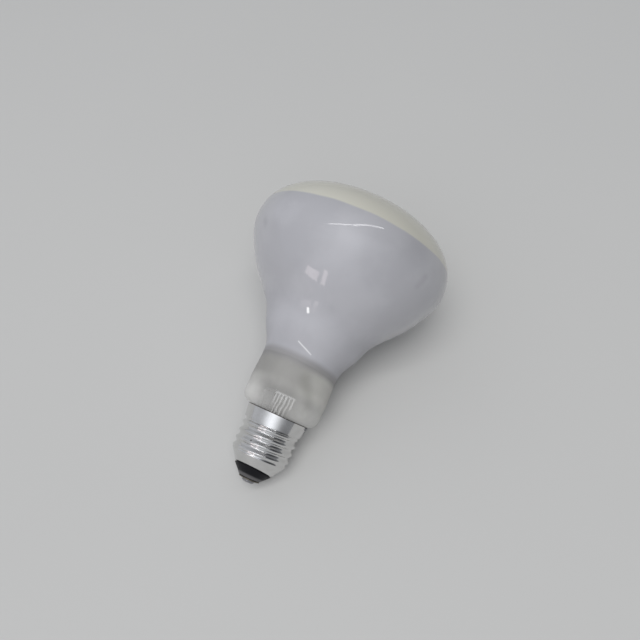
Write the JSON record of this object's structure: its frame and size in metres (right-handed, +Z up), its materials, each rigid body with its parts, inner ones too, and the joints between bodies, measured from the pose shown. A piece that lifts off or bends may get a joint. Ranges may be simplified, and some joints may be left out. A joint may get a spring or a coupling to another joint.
{
  "type": "incandescent flood bulb",
  "caption": "Reflector flood bulb lying on its side: mirror-coated glass bowl with a frosted face, clear neck showing the stem, and an aluminium screw cap.",
  "frame": {"origin": "middle of the box's underside, on the floor that the bulb lies on", "axes": "+Z up; the lamp's axis lies in the XZ plane, with its face towards +X and its screw cap towards -X, rising 19.7 degrees towards the face"},
  "size_m": [0.1359, 0.0938, 0.0907],
  "materials": {
    "bulb_glass": "clear at the neck, aluminised inside the bowl so that it looks pale grey, etched white on the face",
    "stem_glass": "clear drawn and pressed glass",
    "cap_aluminium": "bright rolled sheet",
    "black_glass": "opaque black moulded glass, glossy",
    "contact_brass": "dull stamped brass",
    "solder": "satin tin solder",
    "nickel_wire": "drawn nickel-plated wire",
    "tungsten_wire": "dark grey coiled tungsten",
    "copper_wire": "bare drawn copper",
    "cement": "matt tan basing cement"
  },
  "bodies": {
    "root": {"glass_envelope": "bulb_glass", "glass_stem": "stem_glass", "exhaust_tube": "stem_glass", "inner_lead_left": "nickel_wire", "inner_lead_right": "nickel_wire", "filament": "tungsten_wire", "screw_shell": "cap_aluminium", "basing_cement": "cement", "glass_insulator": "black_glass", "contact_eyelet": "contact_brass", "center_solder": "solder", "side_solder": "solder", "center_lead": "copper_wire", "side_lead": "copper_wire"}
  },
  "joints": []
}
